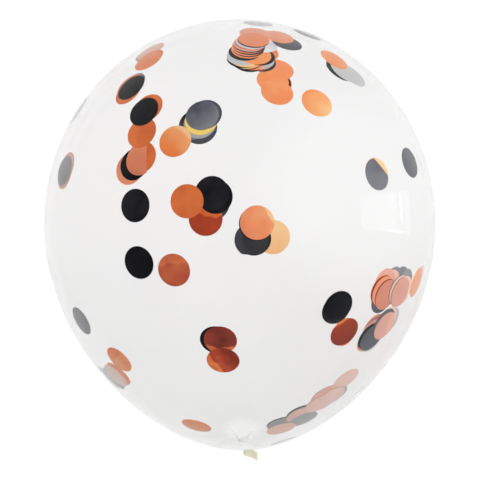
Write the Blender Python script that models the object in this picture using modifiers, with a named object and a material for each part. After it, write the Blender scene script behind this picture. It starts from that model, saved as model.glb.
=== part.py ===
"""A round see-through party balloon, blown up, tied off and lying on its side.

Skin, neck, knot and tail are one dipped latex piece, and it is sealed, so it is one closed solid. Metres, +Z up.
The balloon rests on a small flat spot, whose middle is the origin. The crown points along +Y and a little up,
and the heavier knot end dips towards the floor.
"""

import math

import bmesh
import bpy
from mathutils import Matrix, Vector

# Skin, measured along the balloon's own axis from its widest section
DIAMETER = 0.305
CROWN_HEIGHT = 0.161
KNOT_END_DEPTH = 0.195
KNOT_END_TAPER = 0.20
SKIN_SEGMENTS = 64
SKIN_ROWS = 40

# Neck, from the hollow sweep under the skin down into the knot
NECK_RADIUS = 0.0044
NECK_SWEEP = 0.0085
NECK_LENGTH = 0.0012
SWEEP_ROWS = 5

# Knot: the rolled neck wound round its own core, leaning a little
ROLLED_RADIUS = 0.0022
SQUEEZE = 0.0008
WINDING_RADIUS = 2 * ROLLED_RADIUS - SQUEEZE
WINDING_TURNS = 1.2
WINDING_RISE = 2 * ROLLED_RADIUS * WINDING_TURNS
WINDING_LEAN = math.radians(14)
WINDING_START = math.radians(200)
WINDING_POINTS = 36

# Flat tail, which leaves the knot at its side and ends in the rolled lip
TAIL_LENGTH = 0.0130
TAIL_WIDTH = 0.0155
TAIL_THICKNESS = 0.0016
TAIL_SHIFT = 0.0062
TAIL_TURN = math.radians(-36)
TAIL_SEGMENTS = 24
LIP_THICKNESS = 0.0030
LIP_HEIGHT = 0.0024
SPREAD_ROWS = 8
LIP_ROWS = 5

# How it lies: the axis's slope, and how much of the skin the flat spot takes off
AXIS_SLOPE = math.radians(30)
FLAT_DEPTH = 0.0026


def clear_scene():
    for obj in list(bpy.data.objects):
        bpy.data.objects.remove(obj)


def new_collection(name):
    collection = bpy.data.collections.new(name)
    bpy.context.scene.collection.children.link(collection)
    return collection


def latex():
    material = bpy.data.materials.new("clear_latex")
    material.use_nodes = True
    shader = material.node_tree.nodes["Principled BSDF"]
    shader.inputs["Base Color"].default_value = (0.93, 0.92, 0.88, 1.0)
    shader.inputs["Roughness"].default_value = 0.06
    shader.inputs["Metallic"].default_value = 0.0
    shader.inputs["Alpha"].default_value = 0.3
    return material


def skin_point(angle):
    """Radius and height of the skin where angle runs from 0 at the crown to pi at the knot end."""
    side = math.cos(angle)
    reach = CROWN_HEIGHT if side > 0 else KNOT_END_DEPTH
    narrowing = 1 - KNOT_END_TAPER * min(side, 0.0) ** 2
    return Vector((DIAMETER / 2 * math.sin(angle) * narrowing, reach * side))


def skin_normal(angle, step=1e-4):
    along = skin_point(angle + step) - skin_point(angle - step)
    return Vector((-along.y, along.x)).normalized()


def sweep_start():
    """Angle at which the skin meets the hollow sweep, by halving the stretch that holds it."""
    low, high = math.pi * 0.6, math.pi - 0.001
    for _ in range(50):
        middle = (low + high) / 2
        centre = skin_point(middle) + NECK_SWEEP * skin_normal(middle)
        if centre.x > NECK_RADIUS + NECK_SWEEP:
            low = middle
        else:
            high = middle
    return low


def skin_profile():
    """Radius and height from the crown, down the skin and the sweep, to the end of the neck."""
    last = sweep_start()
    points = [skin_point(last * row / SKIN_ROWS) for row in range(SKIN_ROWS + 1)]
    points[0].x = 0.0
    normal = skin_normal(last)
    centre = points[-1] + NECK_SWEEP * normal
    first_angle = math.atan2(-normal.y, -normal.x)
    for row in range(1, SWEEP_ROWS + 1):
        angle = first_angle + (math.pi - first_angle) * row / SWEEP_ROWS
        points.append(centre + NECK_SWEEP * Vector((math.cos(angle), math.sin(angle))))
    points.append(Vector((NECK_RADIUS, points[-1].y - NECK_LENGTH)))
    points.append(Vector((0.0, points[-1].y)))
    return points


def knot_height(profile):
    """Height of the knot's middle: the top of the winding covers the end of the neck."""
    return profile[-1].y - WINDING_RISE / 4


def turned_skin(profile, material):
    mesh = bpy.data.meshes.new("balloon")
    form = bmesh.new()
    verts = [form.verts.new((point.x, 0, point.y)) for point in profile]
    for upper, lower in zip(verts, verts[1:]):
        form.edges.new((upper, lower))
    form.to_mesh(mesh)
    form.free()
    mesh.materials.append(material)
    obj = bpy.data.objects.new("balloon", mesh)
    screw = obj.modifiers.new("turn", "SCREW")
    screw.steps = screw.render_steps = SKIN_SEGMENTS
    screw.use_merge_vertices = True
    screw.merge_threshold = 0.00001
    screw.use_smooth_shade = True
    return obj


def winding_point(share):
    """A point of the knot's winding, which leaves the core, goes round it and dives back in."""
    angle = WINDING_START + math.tau * WINDING_TURNS * share
    radius = WINDING_RADIUS * math.sqrt(math.sin(math.pi * share)) if 0 < share < 1 else 0.0
    return Vector((radius * math.cos(angle), radius * math.sin(angle), WINDING_RISE * (0.5 - share)))


def winding(middle):
    """The rolled neck as a tube along the knot's winding, made a mesh so that it can be joined."""
    curve = bpy.data.curves.new("winding", "CURVE")
    curve.dimensions = "3D"
    curve.bevel_depth = ROLLED_RADIUS
    curve.bevel_resolution = 3
    curve.use_fill_caps = True
    spline = curve.splines.new("POLY")
    spline.points.add(WINDING_POINTS)
    lean = Matrix.Translation((0, 0, middle)) @ Matrix.Rotation(WINDING_LEAN, 4, "X")
    for index, point in enumerate(spline.points):
        point.co = (lean @ winding_point(index / WINDING_POINTS)).to_4d()
    guide = bpy.data.objects.new("winding_route", curve)
    bpy.context.scene.collection.objects.link(guide)
    bpy.context.view_layer.update()
    mesh = bpy.data.meshes.new_from_object(guide.evaluated_get(bpy.context.evaluated_depsgraph_get()))
    bpy.data.objects.remove(guide)
    form = bmesh.new()
    form.from_mesh(mesh)
    bmesh.ops.remove_doubles(form, verts=form.verts, dist=0.00001)
    return helper("winding", form, mesh)


def smooth(share):
    """Eases a share from 0 to 1, level at both ends."""
    share = min(max(share, 0.0), 1.0)
    return share * share * (3 - 2 * share)


def tail_sections():
    """Depth, half width and half thickness down the tail: a round core, the spread, then the lip."""
    core = WINDING_RISE / 2 + ROLLED_RADIUS
    sections = [(-core, ROLLED_RADIUS, ROLLED_RADIUS)]
    spread_length = TAIL_LENGTH - LIP_HEIGHT
    for row in range(SPREAD_ROWS + 1):
        share = row / SPREAD_ROWS
        spread = smooth(share)
        width = ROLLED_RADIUS + (TAIL_WIDTH / 2 - ROLLED_RADIUS) * spread
        thickness = ROLLED_RADIUS + (TAIL_THICKNESS / 2 - ROLLED_RADIUS) * math.sqrt(spread)
        sections.append((spread_length * share, width, thickness))
    for row in range(1, LIP_ROWS):
        angle = math.pi * row / LIP_ROWS
        depth = spread_length + LIP_HEIGHT * (1 - math.cos(angle)) / 2
        proud = (LIP_THICKNESS - TAIL_THICKNESS) / 2 * math.sin(angle)
        sections.append((depth, TAIL_WIDTH / 2 + proud, TAIL_THICKNESS / 2 + proud))
    return sections


def tail(middle):
    """The tail, lofted from the round core inside the knot to the flat lip."""
    turn = Matrix.Rotation(TAIL_TURN, 4, "Z")
    top = middle - WINDING_RISE / 2
    form = bmesh.new()
    rings = []
    for depth, width, thickness in tail_sections():
        shift = Vector((TAIL_SHIFT * smooth(2 * depth / TAIL_LENGTH), 0, 0))
        ring = []
        for side in range(TAIL_SEGMENTS):
            angle = math.tau * side / TAIL_SEGMENTS
            place = turn @ Vector((width * math.cos(angle), thickness * math.sin(angle), top - depth))
            ring.append(form.verts.new(place + shift))
        rings.append(ring)
    for upper, lower in zip(rings, rings[1:]):
        for side in range(TAIL_SEGMENTS):
            after = (side + 1) % TAIL_SEGMENTS
            form.faces.new((upper[side], lower[side], lower[after], upper[after]))
    form.faces.new(rings[0])
    form.faces.new(reversed(rings[-1]))
    return helper("tail", form, bpy.data.meshes.new("tail"))


def helper(name, form, mesh):
    """An object that the skin is joined with or cut by, and that is no part of its own."""
    bmesh.ops.recalc_face_normals(form, faces=form.faces)
    form.to_mesh(mesh)
    form.free()
    obj = bpy.data.objects.new(name, mesh)
    obj.hide_render = True
    obj.display_type = "WIRE"
    return obj


def flat_spot(sides):
    """Middle and height of the cut that takes FLAT_DEPTH off the lowest side of the leaning profile."""
    lowest = min(range(len(sides)), key=lambda index: sides[index].z)
    cut = sides[lowest].z + FLAT_DEPTH
    ends = []
    for step in (-1, 1):
        index = lowest
        while sides[index].z < cut:
            index += step
        inner, outer = sides[index - step], sides[index]
        share = (cut - inner.z) / (outer.z - inner.z)
        ends.append(inner.y + (outer.y - inner.y) * share)
    return sum(ends) / 2, cut


def lie_down(profile):
    """The matrix that leans the axis and puts the flat spot's middle at the origin."""
    lean = Matrix.Rotation(AXIS_SLOPE - math.pi / 2, 4, "X")
    sides = [lean @ Vector((0, point.x, point.y)) for point in profile]
    middle, cut = flat_spot(sides)
    return Matrix.Translation((0, -middle, -cut)) @ lean


def floor_cutter():
    """A block whose top is the floor: it takes the flat spot off the skin."""
    form = bmesh.new()
    bmesh.ops.create_cube(form, size=DIAMETER)
    bmesh.ops.translate(form, verts=form.verts, vec=(0, 0, -DIAMETER / 2))
    return helper("floor_cutter", form, bpy.data.meshes.new("floor_cutter"))


def boolean(obj, name, operation, other):
    """The winding's tight ends run into themselves, so a union also joins each form with itself."""
    modifier = obj.modifiers.new(name, "BOOLEAN")
    modifier.operation = operation
    modifier.use_self = operation == "UNION"
    modifier.object = other


def main():
    clear_scene()
    parts = new_collection("confetti_balloon")
    helpers = new_collection("joined_and_cut")
    profile = skin_profile()
    axis = bpy.data.objects.new("balloon_axis", None)
    axis.matrix_world = lie_down(profile)
    balloon = turned_skin(profile, latex())
    for obj in (axis, balloon):
        parts.objects.link(obj)
    balloon.parent = axis
    middle = knot_height(profile)
    for piece in (winding(middle), tail(middle)):
        helpers.objects.link(piece)
        piece.parent = axis
        boolean(balloon, piece.name, "UNION", piece)
    cutter = floor_cutter()
    helpers.objects.link(cutter)
    boolean(balloon, "flat_spot", "DIFFERENCE", cutter)


main()
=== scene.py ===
"""Looks of the confetti balloon: its clear skin, its knot and tail, and the foil confetti sealed inside.

The balloon lies on its side and the camera looks straight down on it, so the picture's up is +Y.
Lengths are metres in the frame's axes, and pixels are those of the 480 by 480 picture.
"""

import math

import bmesh
import bpy
from mathutils import Matrix, Vector, noise

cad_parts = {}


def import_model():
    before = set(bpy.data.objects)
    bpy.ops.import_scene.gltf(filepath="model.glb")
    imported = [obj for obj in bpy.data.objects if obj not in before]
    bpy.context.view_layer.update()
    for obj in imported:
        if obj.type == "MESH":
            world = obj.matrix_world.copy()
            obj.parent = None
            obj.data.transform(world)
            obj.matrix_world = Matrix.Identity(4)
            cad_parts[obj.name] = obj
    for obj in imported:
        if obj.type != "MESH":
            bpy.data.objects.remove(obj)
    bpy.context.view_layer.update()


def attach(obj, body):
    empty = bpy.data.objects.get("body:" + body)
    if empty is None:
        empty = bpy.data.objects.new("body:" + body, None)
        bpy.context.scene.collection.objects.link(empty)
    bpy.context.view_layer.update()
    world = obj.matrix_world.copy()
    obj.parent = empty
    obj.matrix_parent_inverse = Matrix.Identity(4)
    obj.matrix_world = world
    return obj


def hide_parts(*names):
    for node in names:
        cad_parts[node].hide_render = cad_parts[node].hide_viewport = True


# Skin, as the CAD has it, measured along the balloon's own axis from its widest section
DIAMETER = 0.305
CROWN_HEIGHT = 0.161
KNOT_END_DEPTH = 0.195
KNOT_END_TAPER = 0.20
AXIS_SLOPE = math.radians(30)
FLAT_DEPTH = 0.0026
FLAT_ROUNDING = 0.0006
WALL = 0.00025
SKIN_SEGMENTS = 160
SKIN_ROWS = 110
SWEEP_ROWS = 10
SWEEP_SEARCH = (0.6 * math.pi, math.pi - 0.001)

# Pleats that gather the skin into the neck: how many each wave makes, its strength and its turn
PUCKER_START = -0.172
PUCKER_SHARE = 0.05
PUCKER_WAVES = ((11, 1.0, 1.0), (17, 0.6, 2.2), (5, 0.4, 0.0))

# Neck and knot, as the CAD has them, and the folds that rolling leaves in the knot
NECK_RADIUS = 0.0044
NECK_SWEEP = 0.0085
NECK_LENGTH = 0.0012
ROLLED_RADIUS = 0.0022
WINDING_RADIUS = 0.0036
WINDING_TURNS = 1.2
WINDING_RISE = 2 * ROLLED_RADIUS * WINDING_TURNS
WINDING_LEAN = math.radians(14)
WINDING_START = math.radians(200)
WINDING_STEPS = 120
WINDING_SIDES = 56
WINDING_AHEAD = 0.01
FOLDS = 7
FOLD_TWIST = 16
FOLD_DEPTH = 0.00016
OVAL_SHARE = 0.5

# Tail, in the CAD's place, here hollow and open at the lip
TAIL_LENGTH = 0.0130
TAIL_WIDTH = 0.0148
TAIL_THICKNESS = 0.0016
TAIL_SHIFT = 0.0068
TAIL_TURN = math.radians(-36)
TAIL_WALL = 0.0005
TAIL_ROWS = 30
TAIL_SIDES = 112
SPREAD_SHARE = 0.55
MOUTH_GAP = 0.0012
BEAD_RADIUS = 0.0006
BEAD_ROWS = 16
LIP_START = TAIL_LENGTH - 2 * BEAD_RADIUS
PLEATS = 2.6
PLEAT_PHASE = math.radians(60)
PLEAT_DEPTH = 0.0005
MELT_SIZE = 0.00016
RELAX_ROUNDS = 3

# Confetti: its two foils, and how the discs lie in layers on the inside of the wall
ORANGE = "copper_foil"
BLACK = "black_foil"
DISC_RADIUS = 0.0125
DISC_THICKNESS = 0.00006
DISC_SEGMENTS = 48
DISC_RINGS = 6
WALL_GAP = 0.0004
LAYER_STEP = 0.0002
LEAN_ROOM = 16
RIM_SHRINK = 0.09
RIPPLE = 0.00006
RIPPLE_SEED_STEP = 3.7
TWIN_TONES = (0.1, 0.23, 0.36, 0.49, 0.62)
CARRIED = ("tone", "painted_reflection", "patch", "seed", "past", "step")

# Foil: its colour at each tone, from painted shade up to a painted glint, the colour of the painted
# reflection of the skin that mixes over it, its shine, and its blotches and edges, which paint sheen and
# shade on it
# Copper tones are lit and shaded copies of one orange foil: the dark red ones painted shade, the peach and
# gold ones painted sheen and glint
COPPER_TONES_AND_SHEEN = (
    (0.0, (0.10, 0.012, 0.010)),
    (0.333, (0.50, 0.07, 0.03)),
    (0.667, (0.93, 0.26, 0.075)),
    (1.0, (1.0, 0.62, 0.30)),
    (1.3, (1.0, 0.72, 0.17)),
)
# Colour of the painted reflection of the skin that each disc mixes over the copper foil
COPPER_PAINTED_REFLECTION = (0.9, 0.84, 0.83)
COPPER_METALLIC = 0.2
COPPER_SPECULAR = 0.05
# Black tones are lit copies of one black foil: the slate and pale greys are painted reflection
BLACK_TONES_AND_SHEEN = (
    (0.0, (0.008, 0.008, 0.010)),
    (0.25, (0.041, 0.039, 0.044)),
    (0.5, (0.073, 0.077, 0.097)),
    (1.0, (0.40, 0.40, 0.41)),
    (1.5, (0.93, 0.95, 0.98)),
)
# Colour of the painted reflection of the skin that each disc mixes over the black foil
BLACK_PAINTED_REFLECTION = (0.66, 0.66, 0.66)
BLACK_METALLIC = 0.0
BLACK_SPECULAR = 0.04
FOIL_ROUGHNESS = 0.3
# Blotches and the soft step past a disc's line paint sheen and shade on the foil
BLOTCH_SCALE = 90
BLOTCH_DETAIL = 1.5
NOISE_MIDDLE = 0.5
EDGE_WOBBLE = 0.6
EDGE_SOFTNESS = 0.1

# Clear latex: its tints, and where along the axis they change; the skin darkening towards the knot end is
# painted shade
FACING_TINT = (0.921, 0.921, 0.921)
SLANT_TINT = (0.905, 0.905, 0.905)
SLANT_FROM = 0.36
KNOT_END_PAINTED_SHADE = (0.935, 0.935, 0.933)
KNOT_END_SHADE_SPAN = (-0.14, 0.03)
NO_TINT = (1, 1, 1)
NECK_TINT = (0.97, 0.97, 0.965)
NECK_SPAN = (-0.1945, -0.1925)
SKIN_IOR = 1.13

# Thick latex: creamier at the lip than at the knot, whose paler colour is painted light for light that comes
# through the rubber, and lit a little from within
LIP_COLOUR = (0.76, 0.72, 0.53)
LIP_SHARE = 0.2
KNOT_COLOUR_PAINTED_PALE = (0.90, 0.89, 0.84)
THICK_ROUGHNESS = 0.38
THICK_SUBSURFACE = 0.3
THICK_SUBSURFACE_RADIUS = (0.003, 0.0025, 0.0015)

# Grain of a finish: its bump's scale, strength and depth
FOIL_GRAIN = (160, 0.15, 0.0002)
THICK_GRAIN = (900, 0.25, 0.0001)
GRAIN_DETAIL = 3

# Sockets of a mix node that mixes colours
MIX_FIRST = 6
MIX_SECOND = 7
MIX_RESULT = 2

# Camera: straight above, found by fitting the skin's outline to the picture's
PICTURE_SIZE = 480
FOCAL_PIXELS = 2560
CAMERA_DISTANCE = 2.0
CAMERA_SHIFT_BACK = 0.0124
CAMERA_ROLL = math.radians(-0.7)
SENSOR_MILLIMETRES = 36
CLIP_NEAR = 0.01
CLIP_FAR = 50

# Room: white to the camera, and for light and reflections a grey that darkens above the horizon
BACKDROP = (1, 1, 1, 1)
ROOM_LOW = (0.9, 0.9, 0.9)
ROOM_HIGH = (0.06, 0.06, 0.06)
ROOM_HIGH_FROM = 0.45
FIRST_BOUNCE = 0.5
OVERHEAD_POWER = 3.45
OVERHEAD_SPREAD = math.radians(70)
OVERHEAD_TURN = (math.radians(-7), math.radians(8), 0)

# Window, seen only as a reflection: each pane's name, distance, Y, Z, width, height and brightness
WINDOW_PANES = (
    ("window_lower", 0.55, 0.04, 0.08, 0.14, 0.14, 2.0),
    ("window_upper", 0.56, 0.04, 0.28, 0.14, 0.26, 6.0),
    ("window_sill", 0.54, 0.06, 0.107, 0.077, 0.012, 60.0),
    ("window_post", 0.53, -0.021, 0.140, 0.005, 0.115, 60.0),
)

# Light that the balloon pools on the floor under it: its place from the balloon's middle, and its lamp
POOL_PLACE = (0.104, 0.028)
POOL_RADIUS = 0.105
POOL_HEIGHT = 3.0
POOL_POWER = 37.0

# Floor
FLOOR_RADIUS = 12.0
FLOOR_SEGMENTS = 96
FLOOR_COLOUR = (0.88, 0.88, 0.88, 1)
FLOOR_ROUGHNESS = 0.9

# Rounds of the searches along the profile and along a line of sight
HALVINGS = 50
NARROWINGS = 60


def skin_point(angle):
    """Radius and height of the skin where angle runs from 0 at the crown to pi at the knot end."""
    side = math.cos(angle)
    reach = CROWN_HEIGHT if side > 0 else KNOT_END_DEPTH
    narrowing = 1 - KNOT_END_TAPER * min(side, 0.0) ** 2
    return Vector((DIAMETER / 2 * math.sin(angle) * narrowing, reach * side))


def skin_normal(angle, step=1e-4):
    along = skin_point(angle + step) - skin_point(angle - step)
    return Vector((-along.y, along.x)).normalized()


def sweep_start():
    """Angle at which the skin meets the hollow sweep, by halving the stretch that holds it."""
    low, high = SWEEP_SEARCH
    for _ in range(HALVINGS):
        middle = (low + high) / 2
        centre = skin_point(middle) + NECK_SWEEP * skin_normal(middle)
        if centre.x > NECK_RADIUS + NECK_SWEEP:
            low = middle
        else:
            high = middle
    return low


def skin_profile():
    """Radius and height from the crown, down the skin and the sweep, to the end of the neck."""
    last = sweep_start()
    points = [skin_point(last * row / SKIN_ROWS) for row in range(SKIN_ROWS + 1)]
    points[0].x = 0.0
    normal = skin_normal(last)
    centre = points[-1] + NECK_SWEEP * normal
    first_angle = math.atan2(-normal.y, -normal.x)
    for row in range(1, SWEEP_ROWS + 1):
        angle = first_angle + (math.pi - first_angle) * row / SWEEP_ROWS
        points.append(centre + NECK_SWEEP * Vector((math.cos(angle), math.sin(angle))))
    points.append(Vector((NECK_RADIUS, points[-1].y - NECK_LENGTH)))
    return points


def lie_down(profile):
    """The matrix that leans the axis and puts the flat spot's middle at the origin, as the CAD does."""
    lean = Matrix.Rotation(AXIS_SLOPE - math.pi / 2, 4, "X")
    sides = [lean @ Vector((0, point.x, point.y)) for point in profile]
    lowest = min(range(len(sides)), key=lambda index: sides[index].z)
    cut = sides[lowest].z + FLAT_DEPTH
    ends = []
    for step in (-1, 1):
        index = lowest
        while sides[index].z < cut:
            index += step
        inner, outer = sides[index - step], sides[index]
        share = (cut - inner.z) / (outer.z - inner.z)
        ends.append(inner.y + (outer.y - inner.y) * share)
    return Matrix.Translation((0, -sum(ends) / 2, -cut)) @ lean


PROFILE = skin_profile()
LYING = lie_down(PROFILE)
MIDDLE = LYING.translation
AXIS = LYING.to_3x3() @ Vector((0, 0, 1))
KNOT_MIDDLE = PROFILE[-1].y - WINDING_RISE / 4


def add_object(name, data, *slots):
    obj = bpy.data.objects.new(name, data)
    bpy.context.scene.collection.objects.link(obj)
    for material in slots:
        data.materials.append(material)
    return obj


def smooth(share):
    """Eases a share from 0 to 1, level at both ends."""
    share = min(max(share, 0.0), 1.0)
    return share * share * (3 - 2 * share)


def loft(form, rings):
    """Faces between rings of as many vertices each, closed at both ends."""
    count = len(rings[0])
    for upper, lower in zip(rings, rings[1:]):
        for side in range(count):
            after = (side + 1) % count
            form.faces.new((upper[side], lower[side], lower[after], upper[after]))
    form.faces.new(rings[0])
    form.faces.new(reversed(rings[-1]))


def camera():
    data = bpy.data.cameras.new("camera")
    data.sensor_width = SENSOR_MILLIMETRES
    data.lens = FOCAL_PIXELS / PICTURE_SIZE * SENSOR_MILLIMETRES
    data.clip_start = CLIP_NEAR
    data.clip_end = CLIP_FAR
    obj = add_object("camera", data)
    obj.location = MIDDLE + Vector((0, -CAMERA_SHIFT_BACK, CAMERA_DISTANCE))
    obj.rotation_euler = (0, 0, CAMERA_ROLL)
    bpy.context.scene.camera = obj
    bpy.context.view_layer.update()
    return obj


def picture_ray(eye, x, y):
    """Direction in which the camera sees a pixel."""
    half = PICTURE_SIZE / 2
    seen = Vector(((x - half) / FOCAL_PIXELS, (half - y) / FOCAL_PIXELS, -1))
    return (eye.matrix_world.to_3x3() @ seen).normalized()


def feed(tree, socket, value):
    """Links a socket to another node's output, or sets it where the value is no socket."""
    if isinstance(value, bpy.types.NodeSocket):
        tree.links.new(value, socket)
    else:
        socket.default_value = value


def calculated(tree, operation, *values):
    """A number that a math node works out."""
    node = tree.nodes.new("ShaderNodeMath")
    node.operation = operation
    for socket, value in zip(node.inputs, values):
        feed(tree, socket, value)
    return node.outputs[0]


def mixed(tree, factor, first, second, blend="MIX"):
    """A colour between two others, or another blend of them."""
    node = tree.nodes.new("ShaderNodeMix")
    node.data_type = "RGBA"
    node.blend_type = blend
    feed(tree, node.inputs["Factor"], factor)
    feed(tree, node.inputs[MIX_FIRST], first)
    feed(tree, node.inputs[MIX_SECOND], second)
    return node.outputs[MIX_RESULT]


def colour_ramp(tree, factor, stops, interpolation="LINEAR"):
    """A colour that follows a factor through two stops or more, each a place and its colour."""
    node = tree.nodes.new("ShaderNodeValToRGB")
    node.color_ramp.interpolation = interpolation
    elements = node.color_ramp.elements
    while len(elements) < len(stops):
        elements.new(0.5)
    for element, (place, colour) in zip(elements, stops):
        element.position = place
        element.color = (*colour, 1)
    tree.links.new(factor, node.inputs["Fac"])
    return node.outputs["Color"]


def background(tree, colour):
    node = tree.nodes.new("ShaderNodeBackground")
    feed(tree, node.inputs["Color"], colour)
    return node.outputs[0]


def world_light():
    world = bpy.data.worlds.new("studio")
    world.use_nodes = True
    world.cycles.sampling_method = "NONE"
    tree = world.node_tree
    tree.nodes.clear()
    path = tree.nodes.new("ShaderNodeLightPath")
    bounces = calculated(tree, "ADD", path.outputs["Diffuse Depth"], path.outputs["Glossy Depth"])
    where = tree.nodes.new("ShaderNodeTexCoord")
    parts = tree.nodes.new("ShaderNodeSeparateXYZ")
    tree.links.new(where.outputs["Generated"], parts.inputs[0])
    stops = ((0.0, ROOM_LOW), (ROOM_HIGH_FROM, ROOM_HIGH))
    room = background(tree, colour_ramp(tree, parts.outputs["Z"], stops, "EASE"))
    mix = tree.nodes.new("ShaderNodeMixShader")
    tree.links.new(calculated(tree, "LESS_THAN", bounces, FIRST_BOUNCE), mix.inputs["Fac"])
    tree.links.new(room, mix.inputs[1])
    tree.links.new(background(tree, BACKDROP), mix.inputs[2])
    output = tree.nodes.new("ShaderNodeOutputWorld")
    tree.links.new(mix.outputs[0], output.inputs["Surface"])
    bpy.context.scene.world = world
    bpy.context.scene.view_settings.view_transform = "Standard"


def add_lamp(data):
    """A lamp that doesn't show through the skin."""
    obj = add_object(data.name, data)
    obj.visible_transmission = False
    return obj


def overhead_light():
    data = bpy.data.lights.new("overhead", "SUN")
    data.energy = OVERHEAD_POWER
    data.angle = OVERHEAD_SPREAD
    data.cycles.use_multiple_importance_sampling = False
    obj = add_lamp(data)
    obj.rotation_euler = OVERHEAD_TURN
    obj.visible_glossy = False


def window_light():
    """The window's two panes, its sill and its post, seen only as reflections."""
    for name, distance, y, z, width, height, radiance in WINDOW_PANES:
        data = bpy.data.lights.new(name, "AREA")
        data.shape = "RECTANGLE"
        data.size = height
        data.size_y = width
        data.energy = math.pi * width * height * radiance
        obj = add_lamp(data)
        obj.location = (distance, y, z)
        obj.rotation_euler = (0, math.pi / 2, 0)
        obj.visible_camera = False
        obj.visible_diffuse = False


def pooled_light():
    """The window's light that a clear balloon pools on the floor under it, seen through the skin."""
    data = bpy.data.lights.new("pool", "SPOT")
    data.energy = POOL_POWER
    data.spot_size = 2 * math.atan(POOL_RADIUS / POOL_HEIGHT)
    data.spot_blend = 1.0
    data.shadow_soft_size = 0.0
    obj = add_lamp(data)
    obj.location = MIDDLE + Vector((*POOL_PLACE, POOL_HEIGHT - MIDDLE.z))
    obj.visible_glossy = False


def new_material(name):
    """A material with its shader."""
    material = bpy.data.materials.new(name)
    material.use_nodes = True
    return material, material.node_tree.nodes["Principled BSDF"]


def floor():
    form = bmesh.new()
    bmesh.ops.create_circle(form, cap_ends=True, segments=FLOOR_SEGMENTS, radius=FLOOR_RADIUS)
    mesh = bpy.data.meshes.new("floor")
    form.to_mesh(mesh)
    form.free()
    material, shader = new_material("floor")
    shader.inputs["Base Color"].default_value = FLOOR_COLOUR
    shader.inputs["Roughness"].default_value = FLOOR_ROUGHNESS
    shader.inputs["Specular IOR Level"].default_value = 0.0
    add_object("floor", mesh, material)


def noise_texture(tree, scale, detail, seed=None):
    """A noise in the object's own coordinates, a different one for each seed."""
    where = tree.nodes.new("ShaderNodeTexCoord")
    texture = tree.nodes.new("ShaderNodeTexNoise")
    texture.inputs["Scale"].default_value = scale
    texture.inputs["Detail"].default_value = detail
    tree.links.new(where.outputs["Object"], texture.inputs["Vector"])
    if seed is not None:
        texture.noise_dimensions = "4D"
        tree.links.new(seed, texture.inputs["W"])
    return texture.outputs["Fac"]


def noise_bump(tree, shader, scale, strength, distance, seed=None):
    """A bump on the shader, from a noise."""
    bump = tree.nodes.new("ShaderNodeBump")
    bump.inputs["Strength"].default_value = strength
    bump.inputs["Distance"].default_value = distance
    tree.links.new(noise_texture(tree, scale, GRAIN_DETAIL, seed), bump.inputs["Height"])
    tree.links.new(bump.outputs["Normal"], shader.inputs["Normal"])


def clear_latex():
    """Clear skin, a little greyer at a slant, and darker towards the knot end, which is painted shade."""
    material, shader = new_material("clear_latex")
    tree = material.node_tree
    slant = tree.nodes.new("ShaderNodeLayerWeight")
    by_slant = colour_ramp(tree, slant.outputs["Facing"], ((0.0, FACING_TINT), (SLANT_FROM, SLANT_TINT)))
    # Painted shade: the skin darkens towards the knot end
    share = axial_share(tree, *KNOT_END_SHADE_SPAN)
    by_painted_shade = colour_ramp(tree, share, ((0.0, KNOT_END_PAINTED_SHADE), (1.0, NO_TINT)))
    both = mixed(tree, 1.0, by_slant, by_painted_shade, "MULTIPLY")
    tint = mixed(tree, axial_share(tree, *NECK_SPAN), (*NECK_TINT, 1), both)
    tree.links.new(tint, shader.inputs["Base Color"])
    shader.inputs["Roughness"].default_value = 0.0
    shader.inputs["IOR"].default_value = SKIN_IOR
    shader.inputs["Transmission Weight"].default_value = 1.0
    return material


def axial_share(tree, first, last):
    """0 to 1 between two heights along the balloon's own axis."""
    where = tree.nodes.new("ShaderNodeTexCoord")
    along = tree.nodes.new("ShaderNodeVectorMath")
    along.operation = "DOT_PRODUCT"
    along.inputs[1].default_value = AXIS
    tree.links.new(where.outputs["Object"], along.inputs[0])
    share = tree.nodes.new("ShaderNodeMapRange")
    share.inputs["From Min"].default_value = MIDDLE.dot(AXIS) + first
    share.inputs["From Max"].default_value = MIDDLE.dot(AXIS) + last
    tree.links.new(along.outputs["Value"], share.inputs["Value"])
    return share.outputs["Result"]


def thick_latex():
    """Cream rubber, creamier towards the lip, where it is thickest, and painted paler at the knot, as light
    that comes through the rubber there.
    """
    material, shader = new_material("thick_latex")
    tree = material.node_tree
    share = axial_share(tree, KNOT_MIDDLE - TAIL_LENGTH, KNOT_MIDDLE)
    # The knot's paler colour is painted light, the lip's cream is the rubber's own
    colour = colour_ramp(tree, share, ((LIP_SHARE, LIP_COLOUR), (1.0, KNOT_COLOUR_PAINTED_PALE)))
    tree.links.new(colour, shader.inputs["Base Color"])
    shader.inputs["Roughness"].default_value = THICK_ROUGHNESS
    shader.inputs["Subsurface Weight"].default_value = THICK_SUBSURFACE
    shader.inputs["Subsurface Radius"].default_value = THICK_SUBSURFACE_RADIUS
    shader.inputs["Subsurface Scale"].default_value = 1.0
    noise_bump(tree, shader, *THICK_GRAIN)
    return material


def carried_value(tree, word):
    """A value that each disc carries in its mesh."""
    node = tree.nodes.new("ShaderNodeAttribute")
    node.attribute_name = word
    return node.outputs["Fac"]


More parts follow.
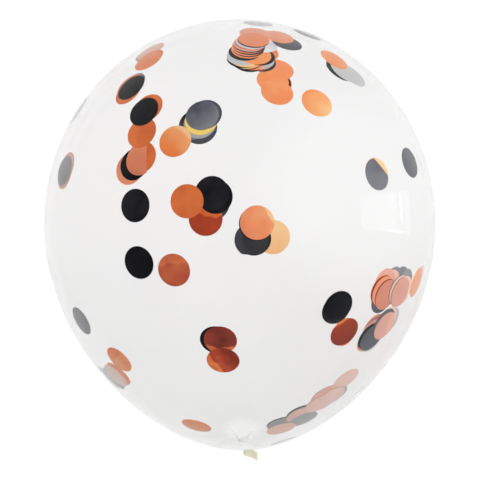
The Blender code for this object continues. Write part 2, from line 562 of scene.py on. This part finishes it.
def foil(name, tones_and_sheen, reflection_colour, metallic, specular):
    """Foil whose colour follows each disc's tone, painted_reflection and patches, and steps beyond the
    disc's line: painted sheen, shade and reflection over the foil's own colour.
    """
    material, shader = new_material(name)
    tree = material.node_tree
    tone, painted_reflection, patch, seed, past, step = (carried_value(tree, word) for word in CARRIED)
    # Painted sheen and shade: noise blotches and a soft step past each disc's line shift its tone
    blotches = noise_texture(tree, BLOTCH_SCALE, BLOTCH_DETAIL, seed)
    level = calculated(tree, "SUBTRACT", blotches, NOISE_MIDDLE)
    blotchy = calculated(tree, "MULTIPLY_ADD", level, patch, tone)
    beyond = tree.nodes.new("ShaderNodeMapRange")
    beyond.interpolation_type = "SMOOTHSTEP"
    beyond.inputs["From Max"].default_value = EDGE_SOFTNESS
    tree.links.new(calculated(tree, "MULTIPLY_ADD", level, EDGE_WOBBLE, past), beyond.inputs["Value"])
    stepped = calculated(tree, "MULTIPLY_ADD", beyond.outputs["Result"], step, blotchy)
    brightest = tones_and_sheen[-1][0]
    stops = [(place / brightest, colour) for place, colour in tones_and_sheen]
    colour = colour_ramp(tree, calculated(tree, "DIVIDE", stepped, brightest), stops)
    # Painted reflection: painted_reflection mixes the skin's reflected white over the foil's colour
    tree.links.new(mixed(tree, painted_reflection, colour, (*reflection_colour, 1)), shader.inputs["Base Color"])
    shader.inputs["Metallic"].default_value = metallic
    shader.inputs["Roughness"].default_value = FOIL_ROUGHNESS
    shader.inputs["Specular IOR Level"].default_value = specular
    noise_bump(tree, shader, *FOIL_GRAIN, seed)
    return material


def wall_distance(point):
    """How far inside the skin a point is, roughly: negative outside."""
    local = LYING.inverted() @ point
    reach = CROWN_HEIGHT if local.z > 0 else KNOT_END_DEPTH
    side = local.z / reach
    narrowing = 1 - KNOT_END_TAPER * max(min(side, 0.0), -1.0) ** 2
    out = math.hypot(local.x, local.y) / (DIAMETER / 2 * narrowing)
    return DIAMETER / 2 * (1 - math.hypot(out, side))


def wall_normal(point, step=1e-4):
    slope = [wall_distance(point - step * unit) - wall_distance(point + step * unit)
             for unit in (Vector((1, 0, 0)), Vector((0, 1, 0)), Vector((0, 0, 1)))]
    return Vector(slope).normalized()


def deepest(eye, direction, near, far):
    """How far along a line of sight the wall is furthest away, by narrowing down from both ends."""
    for _ in range(NARROWINGS):
        first, second = near + (far - near) / 3, far - (far - near) / 3
        if wall_distance(eye + first * direction) > wall_distance(eye + second * direction):
            far = second
        else:
            near = first
    return near


def wall_hit(eye, direction, depth, far):
    """Where a line of sight is a given depth inside the near wall, or the far one, by halving."""
    reach = (MIDDLE - eye).dot(direction)
    outside = reach + DIAMETER if far else reach - DIAMETER
    inside = deepest(eye, direction, reach - DIAMETER, reach + DIAMETER)
    for _ in range(HALVINGS):
        middle = (outside + inside) / 2
        if wall_distance(eye + middle * direction) > depth:
            inside = middle
        else:
            outside = middle
    return eye + inside * direction


def curvature(point, direction, normal):
    """How strongly the wall bends at a point, along a direction in the wall."""
    turned = wall_normal(point + DISC_RADIUS * direction) - normal
    return turned.dot(direction) / DISC_RADIUS


class Disc:
    """One piece of confetti: the pixel of its centre, its foil, and how it differs from a plain one.

    tone and painted_reflection run from 0 to 1, and a tone above that is a painted glint. The
    tone changes by slope from the middle to the rim, towards way, and by step beyond a line across the
    disc, at edge. Patch is how blotchy it is. The values tone, slope, step and patch paint the sheen and
    shade of the foil over its own colour, and painted_reflection paints the skin's reflection over it. Ways
    are degrees in the picture, anticlockwise from its right. A creased disc ends flat at crease, towards
    crease_way.
    Edge and crease are shares of the radius. Lean is how many degrees a disc turns off the wall, towards the
    camera. A far disc lies on the wall behind.
    """

    def __init__(self, x, y, kind, tone=0.5, painted_reflection=0.0, way=0, slope=0.0, edge=1.0, step=0.0, patch=0.2,
                 crease=1.0, crease_way=0, lean=0, far=False):
        self.x = x
        self.y = y
        self.kind = kind
        self.tone = tone
        self.painted_reflection = painted_reflection
        self.way = math.radians(way)
        self.slope = slope
        self.edge = edge
        self.step = step
        self.patch = patch
        self.crease = crease
        self.crease_way = math.radians(crease_way)
        self.lean = math.radians(lean)
        self.far = far


def confetti_groups():
    """Each group as the picture shows it, front disc first."""
    o, b = ORANGE, BLACK
    # Each disc's tone, painted_reflection, slope, step and patch paint the sheen, shade and reflection it
    # shows
    return {
        "crown_rim": [Disc(258, 23.2, b, 0.7, 0.55)],
        "crown_rim_right": [Disc(307.1, 34.2, b, 0.1)],
        "stack": [
            Disc(253.7, 39.3, o, 0.62, 0.1), Disc(255, 33.2, o, 0.65, 0.2),
            Disc(278.7, 36.5, o, 0.64, 0.15), Disc(286.9, 42.6, b, 0.47, 0.03), Disc(253.3, 40.3, b, 0.1),
            Disc(251.5, 41.5, b, 1.3, patch=1.2), Disc(250.2, 42.7, o, 0.45, 0.1, patch=0.7),
            Disc(249.3, 43.5, o, 0.6, 0.5, patch=1.6), Disc(249.4, 44.6, b, 0.1),
            Disc(248.3, 45.4, o, 0.62, 0.1, patch=0.5), Disc(249, 46.6, b, 0.15),
            Disc(247.5, 47.5, o, 0.65, 0.15, patch=0.5), Disc(248, 48.6, o, 0.05),
            Disc(247.3, 49.6, o, 0.72, 0.1), Disc(244.6, 51.6, b, 0.15), Disc(262, 44.6, b, 1.4),
            Disc(255.3, 55, o, 0.75), Disc(259, 55.8, b, 0.15), Disc(262.8, 52.3, o, 0.65),
            Disc(242.7, 56, b, 1.0, 0.7, patch=0.6), Disc(245.5, 57.4, o, 1.0, patch=0.6),
            Disc(242.9, 58.2, b, 0.1), Disc(246.6, 59, o, 0.9, patch=0.9), Disc(246.2, 60, b, 0.1),
            Disc(249.5, 60.2, o, 0.6, patch=0.9), Disc(258.5, 59.4, b, 1.0, 0.6), Disc(257, 60.4, o, 0.5),
            Disc(260, 61.6, b, 0.25), Disc(249.5, 62, b, 0.1), Disc(277.2, 91.8, o, 0.72, 0.04),
            Disc(272.9, 80.5, o, 0.71, 0.02), Disc(278, 69, o, 0.7, 0.06), Disc(275, 81.2, b, 0.0),
            Disc(275.8, 81.8, o, 0.6),
        ],
        "crown_right": [
            Disc(334.3, 59.4, o, 0.72), Disc(353, 75.3, b, 1.0, 0.65), Disc(344, 71, b, 1.0, 0.65),
            Disc(339.6, 70.1, b, 0.0),
        ],
        # A copper disc whose pale, gold look is painted sheen
        "sheened_single": [Disc(317, 102.7, o, 0.82, way=-45, slope=0.1)],
        "shoulder_pair": [
            Disc(148.4, 60.4, o, 0.63, 0.05), Disc(149.3, 58.8, o, 0.6), Disc(150.6, 50.7, o, 0.62, 0.4),
            Disc(148.7, 52.3, b, 0.6, 0.4),
        ],
        "shoulder_black": [
            Disc(131, 87.2, b, 0.0), Disc(128.3, 91.5, o, 0.52), Disc(129.6, 86, o, 0.65, 0.1),
            Disc(131.8, 84.8, b, 0.5, 0.2),
        ],
        "left_column": [
            Disc(143.8, 111.4, b, 0.0), Disc(147.9, 107.8, o, 0.53),
            Disc(141.5, 132.5, o, 0.52, way=180, slope=0.05),
            Disc(140.3, 159.2, o, 0.54, 0.1, way=90, slope=0.05, crease=0.43),
            Disc(141.2, 157.2, o, 0.52), Disc(134, 164.2, b, 0.0), Disc(129.5, 168.5, o, 0.6, 0.15),
        ],
        "bright_single": [Disc(175, 141, o, 0.74, way=45, slope=0.12, edge=0.6, step=0.13)],
        # Black discs painted grey by painted reflection, with a copper one painted with a glint
        "sheened_cluster": [
            Disc(202.2, 115.2, b, 0.6, way=-50, slope=0.12), Disc(205.2, 114.2, b, 0.5),
            Disc(201.3, 119.7, o, 1.3), Disc(200, 123.2, b, 0.85, 0.1),
            Disc(195, 124.3, b, 0.5, patch=1.6), Disc(200.5, 128.6, b, 0.45),
        ],
        "left_rim": [
            Disc(64.3, 170.6, b, 0.7, 0.27, lean=3), Disc(66.6, 167, o, 0.55, 0.5, lean=3),
            Disc(64.6, 173.8, o, 0.55, 0.5, lean=3),
        ],
        "left_black_upper": [Disc(135, 205.5, b, 0.05)],
        "left_black_lower": [Disc(138.7, 262.7, b, 0.0)],
        "copper_single": [Disc(173.8, 270.2, o, 0.38, 0.03, way=100, edge=0.35, step=0.1, patch=0.3)],
        "middle_left": [
            Disc(186.8, 201.2, o, 0.52), Disc(211.8, 193, b, 0.05), Disc(215.5, 196.6, b, 0.0),
            Disc(205.5, 218.8, o, 0.27, way=85, edge=0.1, step=0.2, patch=0.25),
            Disc(212.4, 203.2, b, 0.3),
        ],
        "middle": [
            Disc(257.2, 222.6, o, 0.67, 0.09, way=35, slope=0.08, edge=0.75, step=0.2, patch=0.3),
            Disc(256.2, 223.6, b, 0.1),
            Disc(251.7, 239.9, b, 0.25, way=180, edge=0.4, step=0.06, crease=0.85, crease_way=-90),
            Disc(254, 238.6, b, 0.1), Disc(273.2, 237.2, o, 0.95, 0.05, way=60, slope=0.08),
        ],
        "left_low_rim": [Disc(81.2, 321, b, 0.66, 0.25, lean=2)],
        "lower_left_top": [Disc(119, 359.7, o, 0.62, 0.02, way=-30, edge=-0.2, step=0.12, patch=0.4)],
        "lower_left": [
            Disc(115.5, 375.8, o, 0.6, 0.65), Disc(118.3, 373.9, o, 0.72),
            Disc(113.4, 378.8, b, 0.6, 0.35), Disc(108, 377.2, b, 0.5, 0.35),
        ],
        "dark_pair": [
            Disc(223, 360.6, o, 0.23, way=215, slope=0.1, edge=0.4, step=0.3, patch=0.8),
            Disc(220.3, 340.3, o, 0.15, 0.02, way=263, edge=0.3, step=0.35, patch=0.4),
            Disc(216.4, 340.2, b, 0.0),
        ],
        "lower_single": [Disc(196.3, 425.8, o, 0.68)],
        "right_dark": [
            Disc(338.4, 306.2, b, 0.0), Disc(336.6, 309.3, b, 0.1),
            Disc(344.6, 332.1, o, 0.18, way=120, slope=0.08, edge=0.6, step=0.35),
        ],
        "right_upper": [
            Disc(377.2, 174.2, b, 0.65, way=-90, slope=0.05, crease=0.66, crease_way=40),
            Disc(377.1, 173.5, o, 0.95, 0.05),
        ],
        "right_rim": [Disc(410, 162.6, b, 0.5, 0.08, lean=3)],
        "right_cluster": [
            Disc(400.6, 292.3, o, 0.48, 0.29), Disc(403.4, 290.8, o, 0.6, 0.6),
            Disc(400, 292, b, 0.5, 0.2), Disc(398.9, 290.4, o, 0.62, 0.55),
            Disc(398.2, 290.2, b, 0.3, 0.1), Disc(386.4, 295, o, 0.46, 0.17), Disc(385.8, 294.2, o, 0.05),
            Disc(383.5, 291.5, o, 0.62, 0.15), Disc(382.3, 290.8, o, 0.1), Disc(381.9, 290.2, o, 0.62),
            Disc(385, 283.6, o, 0.55, 0.35), Disc(390, 285, o, 0.62, 0.5),
            Disc(382.5, 298.6, b, 0.5, 0.05), Disc(393, 282, b, 0.6, 0.2),
            Disc(404.5, 283.7, b, 0.6, 0.3), Disc(400, 281.6, b, 0.6, 0.2),
        ],
        "right_slip": [
            Disc(416.2, 282.5, o, 0.72, 0.05, lean=-3), Disc(419.2, 279.7, o, 0.6, 0.6, lean=-4),
        ],
        "right_lower": [
            Disc(385, 325.9, o, 0.5, 0.34, way=-30, edge=0.1, step=0.1), Disc(384.3, 322.7, b, 0.4, 0.1),
            Disc(387.5, 320.3, o, 0.5, 0.6), Disc(389.4, 321.5, b, 0.8, 0.6),
            Disc(372, 337.6, b, 0.47, 0.05), Disc(370, 336.4, b, 0.0), Disc(372.8, 331.8, o, 0.45, 0.3),
            Disc(373.3, 331, o, 0.05), Disc(373.5, 330, o, 0.45, 0.15), Disc(374.8, 329.8, o, 0.9, 0.1),
            Disc(374.3, 327.6, o, 0.45, 0.2), Disc(372.5, 338.8, b, 0.8, 0.4),
            Disc(368.8, 338.6, o, 0.6, 0.2),
        ],
        "bottom_right": [
            Disc(331.6, 396.8, o, 0.64, 0.6), Disc(319.4, 403.9, o, 0.66, 0.6),
            Disc(331.4, 396, o, 0.25, 0.45), Disc(319.1, 403.1, o, 0.25, 0.45),
            Disc(334.4, 395.7, b, 0.8, 0.5), Disc(325.6, 395.2, o, 0.6, 0.45, patch=0.6),
            Disc(325.1, 394.8, o, 0.2, 0.45), Disc(346, 379.4, o, 0.64, 0.6),
        ],
        "bottom": [
            Disc(281.3, 429, o, 0.68, 0.5), Disc(303.7, 419.2, b, 0.7, 0.4),
            Disc(301, 415, o, 0.6, 0.5, patch=0.8), Disc(301.6, 413.6, b, 0.7, 0.4),
            Disc(301.2, 412.6, b, 0.1), Disc(281.9, 424, b, 0.7, 0.35), Disc(281.6, 423.3, b, 0.2),
        ],
        "edge_on_right": [Disc(360.4, 389.4, o, 0.6, 0.8, lean=-5)],
        "edge_on_left": [Disc(78.9, 110, b, 0.8, 0.5)],
        "edge_on_low": [Disc(284, 441.2, b, 0.6, 0.3, lean=1)],
    }


def hidden_twins():
    """Discs on the far wall, each straight behind a near one, so that confetti shows from all round."""
    behind = (
        (276, 90), (203, 117), (175, 141), (135, 205.5), (138.7, 262.7), (173.8, 270.2), (187, 201.5),
        (212.5, 196), (338, 307), (344.6, 332.1), (378, 175.5), (139, 161), (144, 111.6), (131, 87.5),
        (399.5, 291), (384, 293), (384.3, 325), (253, 50), (255, 57), (326, 399),
    )
    kinds = (ORANGE, BLACK, ORANGE)
    twins = []
    for index, (x, y) in enumerate(behind):
        tone = TWIN_TONES[index % len(TWIN_TONES)]
        twins.append([Disc(x, y, kinds[index % len(kinds)], tone, far=True)])
    return twins


def in_wall(basis, way):
    """The angle in a disc's own plane that the picture shows as a way."""
    seen = basis.transposed() @ Vector((math.cos(way), math.sin(way), 0))
    return math.atan2(seen.y, seen.x)


def disc_place(eye, disc, layer):
    """Where a disc lies on the inside of the wall, which way it faces, how it bends, and its radius.

    Leaning discs lie further apart, so that their layers stay in order. Discs near the skin's outline are a
    little smaller, as the picture shows them.
    """
    slant = abs(math.sin(disc.lean))
    depth = WALL + WALL_GAP + layer * LAYER_STEP * (1 + LEAN_ROOM * slant) + DISC_RADIUS * slant
    spot = wall_hit(eye.location, picture_ray(eye, disc.x, disc.y), depth, disc.far)
    normal = wall_normal(spot)
    around = AXIS.cross(normal).normalized()
    along = normal.cross(around)
    bends = (curvature(spot, around, normal), curvature(spot, along, normal))
    basis = Matrix((around, along, normal)).transposed()
    sight = (eye.location - spot).normalized()
    towards = basis.transposed() @ sight
    hinge = Vector((-towards.y, towards.x, 0)).normalized()
    radius = DISC_RADIUS * (1 - RIM_SHRINK * (1 - abs(normal.dot(sight))))
    return spot, basis @ Matrix.Rotation(disc.lean, 3, hinge), bends, radius


def disc_reach(disc, angle, crease):
    """Share of the radius that a disc reaches at an angle: to its round rim, or to its crease."""
    towards = math.cos(angle - crease)
    return 1 if towards <= disc.crease else disc.crease / towards


def disc_side(form, disc, seed, place, raised):
    """One face of a disc as rings of vertices, each with the disc's values, raised off its middle plane."""
    spot, basis, bends, disc_radius = place
    across = Vector((math.cos(disc.way), math.sin(disc.way), 0)) / disc_radius
    crease = in_wall(basis, disc.crease_way)
    layers = [form.verts.layers.float[word] for word in CARRIED]
    rings = []
    for ring in range(DISC_RINGS + 1):
        verts = []
        for index in range(DISC_SEGMENTS if ring else 1):
            angle = math.tau * index / DISC_SEGMENTS
            radius = disc_radius * disc_reach(disc, angle, crease) * ring / DISC_RINGS
            u, v = radius * math.cos(angle), radius * math.sin(angle)
            wave = noise.noise(Vector((u / DISC_RADIUS, v / DISC_RADIUS, seed * RIPPLE_SEED_STEP)))
            height = RIPPLE * wave - (bends[0] * u * u + bends[1] * v * v) / 2
            offset = basis @ Vector((u, v, height + raised))
            towards = offset.dot(across)
            # Painted sheen and shade: tone changes across the disc by slope, and by step past edge
            tone = disc.tone + disc.slope * towards
            vert = form.verts.new(spot + offset)
            values = (tone, disc.painted_reflection, disc.patch, seed, towards - disc.edge, disc.step)
            for layer, value in zip(layers, values):
                vert[layer] = value
            verts.append(vert)
        rings.append(verts)
    return rings


def disc_shape(form, disc, seed, place):
    """Adds one disc: a thin closed solid that follows the wall and ripples a little."""
    half = DISC_THICKNESS / 2
    sides = [disc_side(form, disc, seed, place, raised) for raised in (half, -half)]
    faces = []
    for rings in sides:
        for index in range(DISC_SEGMENTS):
            after = (index + 1) % DISC_SEGMENTS
            faces.append(form.faces.new((rings[0][0], rings[1][index], rings[1][after])))
            for inner, outer in zip(rings[1:], rings[2:]):
                faces.append(form.faces.new((inner[index], outer[index], outer[after], inner[after])))
    upper, lower = sides[0][-1], sides[1][-1]
    for index in range(DISC_SEGMENTS):
        after = (index + 1) % DISC_SEGMENTS
        faces.append(form.faces.new((upper[index], upper[after], lower[after], lower[index])))
        for rim in (upper, lower):
            form.edges.get((rim[index], rim[after])).smooth = False
    bmesh.ops.recalc_face_normals(form, faces=faces)


def confetti(eye, materials):
    forms = {}
    for kind in (ORANGE, BLACK):
        forms[kind] = bmesh.new()
        for word in CARRIED:
            forms[kind].verts.layers.float.new(word)
    seed = 0
    for group in [*confetti_groups().values(), *hidden_twins()]:
        for layer, disc in enumerate(group):
            disc_shape(forms[disc.kind], disc, seed, disc_place(eye, disc, layer))
            seed += 1
    for kind, name in ((ORANGE, "confetti_copper"), (BLACK, "confetti_black")):
        mesh = bpy.data.meshes.new(name)
        forms[kind].to_mesh(mesh)
        forms[kind].free()
        mesh.shade_smooth()
        piece = add_object(name, mesh, materials[kind])
        piece.visible_shadow = False
        piece.visible_glossy = False
        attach(piece, "root")


def turned(form, profile, inward):
    """A closed turned surface from a profile that starts on the axis, with its last ring closed flat."""
    top = form.verts.new((0, 0, profile[0].y))
    rings = []
    for point in profile[1:]:
        ring = []
        for side in range(SKIN_SEGMENTS):
            angle = math.tau * side / SKIN_SEGMENTS
            ring.append(form.verts.new((point.x * math.cos(angle), point.x * math.sin(angle), point.y)))
        rings.append(ring)
    end = form.verts.new((0, 0, profile[-1].y))
    faces = []
    for side in range(SKIN_SEGMENTS):
        after = (side + 1) % SKIN_SEGMENTS
        faces.append(form.faces.new((top, rings[0][side], rings[0][after])))
        faces.append(form.faces.new((end, rings[-1][after], rings[-1][side])))
        for upper, lower in zip(rings, rings[1:]):
            faces.append(form.faces.new((upper[side], lower[side], lower[after], upper[after])))
    bmesh.ops.recalc_face_normals(form, faces=faces)
    if inward:
        bmesh.ops.reverse_faces(form, faces=faces)


def inner_profile(profile):
    """The profile moved in by the wall's thickness."""
    moved = [Vector((0.0, profile[0].y - WALL))]
    for before, point, after in zip(profile, profile[1:], profile[2:]):
        along = (after - before).normalized()
        moved.append(point - WALL * Vector((-along.y, along.x)))
    return moved


def pucker(form):
    """Gathers the skin into small pleats where it runs into the neck."""
    for vert in form.verts:
        below = smooth((vert.co.z - PUCKER_START) / (PROFILE[-1].y - PUCKER_START))
        angle = math.atan2(vert.co.y, vert.co.x)
        ridge = sum(strength * math.sin(count * angle + turn) for count, strength, turn in PUCKER_WAVES)
        swell = 1 + PUCKER_SHARE * below * ridge
        vert.co.x *= swell
        vert.co.y *= swell


def flatten(form):
    """Presses the skin's underside onto the floor, with a soft edge round the flat spot."""
    for vert in form.verts:
        vert.co.z = (vert.co.z + math.sqrt(vert.co.z ** 2 + 4 * FLAT_ROUNDING ** 2)) / 2


def skin(material):
    form = bmesh.new()
    turned(form, PROFILE, False)
    turned(form, inner_profile(PROFILE), True)
    pucker(form)
    bmesh.ops.transform(form, matrix=LYING, verts=form.verts)
    flatten(form)
    mesh = bpy.data.meshes.new("balloon_skin")
    form.to_mesh(mesh)
    form.free()
    mesh.shade_smooth()
    piece = add_object("balloon_skin", mesh, material)
    piece.visible_shadow = False
    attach(piece, "root")
    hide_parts("balloon")


def winding_point(share):
    """A point of the knot's winding, which leaves the core, goes round it and dives back in."""
    angle = WINDING_START + math.tau * WINDING_TURNS * share
    radius = WINDING_RADIUS * math.sqrt(math.sin(math.pi * share)) if 0 < share < 1 else 0.0
    return Vector((radius * math.cos(angle), radius * math.sin(angle), WINDING_RISE * (0.5 - share)))


def winding(form, middle):
    """The rolled neck along the knot's winding, with the twisted folds that rolling leaves in it."""
    lean = Matrix.Translation((0, 0, middle)) @ Matrix.Rotation(WINDING_LEAN, 4, "X")
    rings = []
    for step in range(WINDING_STEPS + 1):
        share = step / WINDING_STEPS
        point = winding_point(share)
        before, after = max(share - WINDING_AHEAD, 0), min(share + WINDING_AHEAD, 1)
        ahead = (winding_point(after) - winding_point(before)).normalized()
        across = ahead.cross(Vector((0, 0, 1))).normalized()
        up = across.cross(ahead)
        twist = FOLD_TWIST * share
        ring = []
        for side in range(WINDING_SIDES):
            angle = math.tau * side / WINDING_SIDES
            swell = math.sin(FOLDS * angle + twist) + OVAL_SHARE * math.sin(2 * angle - twist)
            out = math.cos(angle) * across + math.sin(angle) * up
            ring.append(form.verts.new(lean @ (point + (ROLLED_RADIUS + FOLD_DEPTH * swell) * out)))
        rings.append(ring)
    loft(form, rings)


def tail_sections():
    """Depth, half width and half thickness: from in the knot to the lip, over its bead and back inside."""
    flat = TAIL_THICKNESS / 2
    sections = [(-WINDING_RISE / 2 - ROLLED_RADIUS, ROLLED_RADIUS, ROLLED_RADIUS)]
    for row in range(TAIL_ROWS + 1):
        share = row / TAIL_ROWS
        spread = smooth(share / SPREAD_SHARE)
        width = ROLLED_RADIUS + (TAIL_WIDTH / 2 - ROLLED_RADIUS) * spread
        thickness = ROLLED_RADIUS + (flat - ROLLED_RADIUS) * math.sqrt(spread)
        thickness += MOUTH_GAP / 2 * smooth(2 * share - 1)
        sections.append((LIP_START * share, width, thickness))
    mouth_width, mouth_thickness = sections[-1][1] - TAIL_WALL / 2, sections[-1][2] - TAIL_WALL / 2
    turn = math.asin(TAIL_WALL / 2 / BEAD_RADIUS)
    for row in range(1, BEAD_ROWS):
        angle = turn + (math.tau - 2 * turn) * row / BEAD_ROWS
        out = BEAD_RADIUS * math.sin(angle)
        depth = LIP_START + BEAD_RADIUS * (1 - math.cos(angle))
        sections.append((depth, mouth_width + out, mouth_thickness + out))
    for row in range(TAIL_ROWS, TAIL_ROWS // 2, -1):
        depth, width, thickness = sections[row + 1]
        sections.append((depth, width - TAIL_WALL, thickness - TAIL_WALL))
    return sections


def tail(form, middle):
    """The flat hollow tail, open at its rolled lip, with soft pleats that fan out from the knot."""
    turn = Matrix.Rotation(TAIL_TURN, 4, "Z")
    top = middle - WINDING_RISE / 2
    rings = []
    for depth, width, thickness in tail_sections():
        shift = Vector((TAIL_SHIFT * smooth(2 * depth / TAIL_LENGTH), 0, 0))
        wave = PLEAT_DEPTH * smooth(depth / LIP_START)
        ring = []
        for side in range(TAIL_SIDES):
            angle = math.tau * side / TAIL_SIDES
            across = width * math.cos(angle)
            bend = wave * math.sin(PLEAT_PHASE + PLEATS * math.pi * across / TAIL_WIDTH)
            place = turn @ Vector((across, thickness * math.sin(angle) + bend, top - depth))
            ring.append(form.verts.new(place + shift))
        rings.append(ring)
    loft(form, rings)


def as_one_piece(form, name):
    """A mesh with no faces left inside: the forms are melted together and smoothed a little."""
    rough = bpy.data.meshes.new(name)
    form.to_mesh(rough)
    form.free()
    helper = add_object(name, rough)
    remesh = helper.modifiers.new("melt", "REMESH")
    remesh.mode = "VOXEL"
    remesh.voxel_size = MELT_SIZE
    relax = helper.modifiers.new("relax", "SMOOTH")
    relax.iterations = RELAX_ROUNDS
    bpy.context.view_layer.update()
    mesh = bpy.data.meshes.new_from_object(helper.evaluated_get(bpy.context.evaluated_depsgraph_get()))
    bpy.data.objects.remove(helper)
    bpy.data.meshes.remove(rough)
    mesh.name = name
    return mesh


def knot(material):
    form = bmesh.new()
    winding(form, KNOT_MIDDLE)
    tail(form, KNOT_MIDDLE)
    bmesh.ops.recalc_face_normals(form, faces=form.faces)
    bmesh.ops.transform(form, matrix=LYING, verts=form.verts)
    mesh = as_one_piece(form, "balloon_knot")
    mesh.shade_smooth()
    piece = add_object("balloon_knot", mesh, material)
    piece.visible_transmission = False
    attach(piece, "root")
    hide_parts("balloon")


def main():
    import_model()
    eye = camera()
    world_light()
    overhead_light()
    window_light()
    pooled_light()
    floor()
    skin(clear_latex())
    knot(thick_latex())
    materials = {
        ORANGE: foil(ORANGE, COPPER_TONES_AND_SHEEN, COPPER_PAINTED_REFLECTION, COPPER_METALLIC, COPPER_SPECULAR),
        BLACK: foil(BLACK, BLACK_TONES_AND_SHEEN, BLACK_PAINTED_REFLECTION, BLACK_METALLIC, BLACK_SPECULAR),
    }
    confetti(eye, materials)


main()
